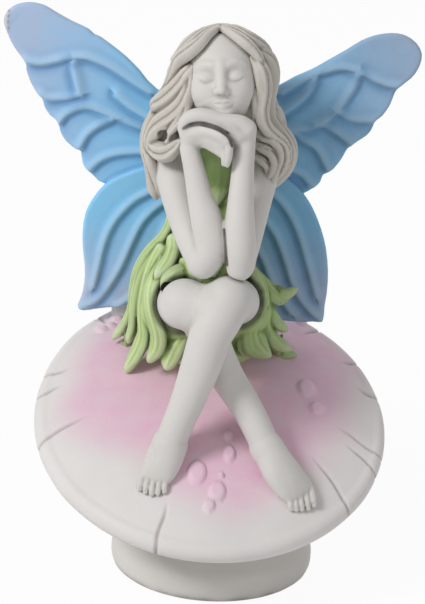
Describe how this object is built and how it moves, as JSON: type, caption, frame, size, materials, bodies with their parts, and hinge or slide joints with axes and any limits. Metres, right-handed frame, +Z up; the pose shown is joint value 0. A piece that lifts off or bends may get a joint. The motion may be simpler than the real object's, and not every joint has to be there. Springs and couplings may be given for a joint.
{
  "type": "fairy figurine",
  "caption": "Cast resin figurine: a winged girl in a leaf dress sits with crossed legs and folded hands on a round mushroom with a flat base.",
  "frame": {"origin": "centre of the base's flat underside", "axes": "+Z up through the base and the head, the figure looks towards -Y, +X to the right of someone who faces it"},
  "size_m": [0.1478, 0.1138, 0.1983],
  "materials": {
    "mushroom": "Matte airbrushed paint on cast resin: a pink middle that fades to off-white at the rim, and a greyish ivory base.",
    "skin": "Matte ivory paint on cast resin, smooth.",
    "hair": "Matte ivory paint with a taupe wash left in the grooves between the strands.",
    "dress": "Matte light green paint with paler dry brushing on the leaves and dark lines in the recesses.",
    "wings": "Matte airbrushed paint on cast resin, clear blue near the body fading to grey lilac at the tips, with paler vein ridges."
  },
  "bodies": {
    "root": {"fairy_figurine": "mushroom"}
  },
  "joints": []
}
